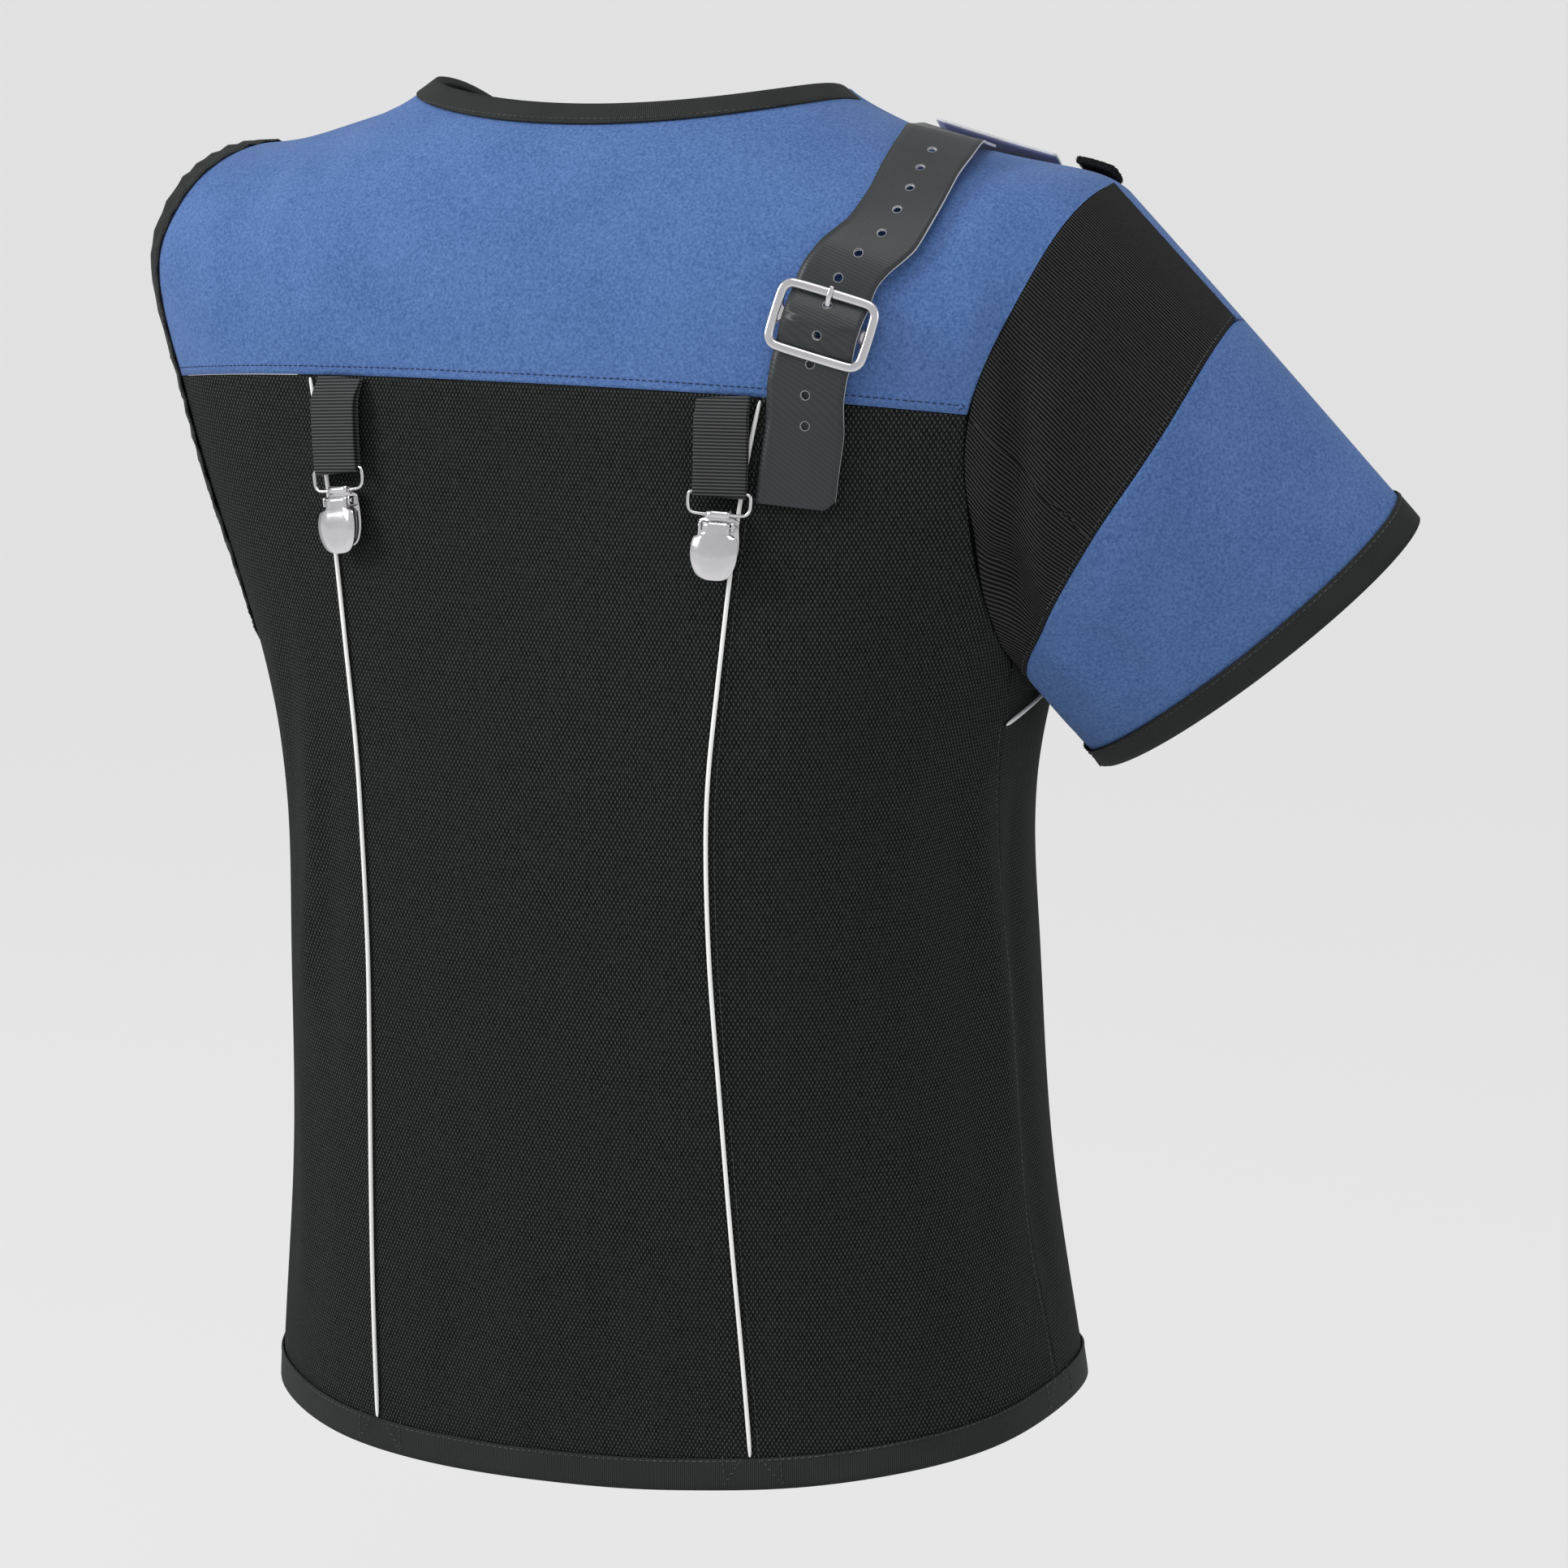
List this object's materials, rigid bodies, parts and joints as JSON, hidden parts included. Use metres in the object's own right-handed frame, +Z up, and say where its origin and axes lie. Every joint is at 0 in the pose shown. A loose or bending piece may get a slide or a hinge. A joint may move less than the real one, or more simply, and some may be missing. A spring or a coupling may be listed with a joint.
{
  "type": "shooting vest",
  "caption": "Short sporting vest with one short sleeve, a pale blue yoke, bound edges, a buckled shoulder strap and two clips on webbing tabs, worn open at neck, hem, cuff and armhole.",
  "frame": {"origin": "midpoint between the neck ends of the two shoulder seams, where the wearer's shoulders hold the vest up", "axes": "+Z up, +X to the wearer's left, +Y to the wearer's back"},
  "size_m": [0.6128, 0.296, 0.6626],
  "materials": {
    "blue_suede": "matt short-nap suede cloth",
    "black_canvas": "heavy matt basket-weave canvas",
    "black_sleeve_cloth": "fine cross-ribbed cloth",
    "black_binding": "ribbed grosgrain tape",
    "white_piping": "smooth white cord cover",
    "coated_strap": "smooth coated strap, satin",
    "strap_underside": "pale backing cloth",
    "black_webbing": "ribbed webbing",
    "hook_and_loop": "looped pile",
    "nickel": "polished nickel plate"
  },
  "bodies": {
    "vest": {"back_yoke": "blue_suede", "back_centre": "black_canvas", "back_side_left": "black_canvas", "back_side_right": "black_canvas", "front_upper_left": "black_canvas", "front_upper_right": "black_canvas", "front_lower_left": "black_canvas", "front_lower_right": "black_canvas", "sleeve_upper_back": "black_sleeve_cloth", "sleeve_upper_front": "blue_suede", "sleeve_lower": "blue_suede", "neck_binding": "black_binding", "armhole_binding_left": "black_binding", "hem_binding": "black_binding", "cuff_binding": "black_binding", "piping_back_left": "white_piping", "piping_back_right": "white_piping", "piping_front_left": "white_piping", "piping_front_right": "white_piping", "strap": "coated_strap", "strap_front_end": "strap_underside", "hook_and_loop_strip": "hook_and_loop", "buckle_frame": "nickel", "buckle_prong": "nickel", "buckle_chape": "coated_strap", "webbing_tab_left": "black_webbing", "webbing_tab_right": "black_webbing", "zip_chain": "nickel", "zip_tape_left": "black_binding", "zip_tape_right": "black_binding", "zip_slider": "nickel"},
    "bail_left": {"bail_left": "nickel"},
    "bail_right": {"bail_right": "nickel"},
    "clip_left": {"clip_body_left": "nickel"},
    "clip_right": {"clip_body_right": "nickel"},
    "lever_left": {"clip_lever_left": "nickel"},
    "lever_right": {"clip_lever_right": "nickel"},
    "zip_pull": {"zip_pull_tab": "nickel"}
  },
  "joints": [
    {"name": "bail_left_swing", "type": "hinge", "parent": "vest", "child": "bail_left", "pos_m": [0.09114, 0.12882, -0.18439], "axis": [0.976, -0.1599, -0.1477], "range_deg": [0, 90]},
    {"name": "clip_left_turn", "type": "hinge", "parent": "bail_left", "child": "clip_left", "pos_m": [0.08978, 0.12964, -0.19426], "axis": [0.976, -0.1599, -0.1477], "range_deg": [0, 45]},
    {"name": "lever_left_open", "type": "hinge", "parent": "clip_left", "child": "lever_left", "pos_m": [0.08936, 0.13153, -0.19911], "axis": [0.976, -0.1599, -0.1477], "range_deg": [0, 60]},
    {"name": "bail_right_swing", "type": "hinge", "parent": "vest", "child": "bail_right", "pos_m": [-0.10421, 0.12831, -0.18458], "axis": [0.984, 0.1728, 0.0436], "range_deg": [0, 90]},
    {"name": "clip_right_turn", "type": "hinge", "parent": "bail_right", "child": "clip_right", "pos_m": [-0.1039, 0.12903, -0.19455], "axis": [0.984, 0.1728, 0.0436], "range_deg": [0, 45]},
    {"name": "lever_right_open", "type": "hinge", "parent": "clip_right", "child": "lever_right", "pos_m": [-0.104, 0.13087, -0.19943], "axis": [0.984, 0.1728, 0.0436], "range_deg": [0, 60]},
    {"name": "zip_pull_swing", "type": "hinge", "parent": "vest", "child": "zip_pull", "pos_m": [-0.00289, -0.11172, -0.10423], "axis": [-0.9998, 0.0126, 0.0183], "range_deg": [0, 120]}
  ]
}
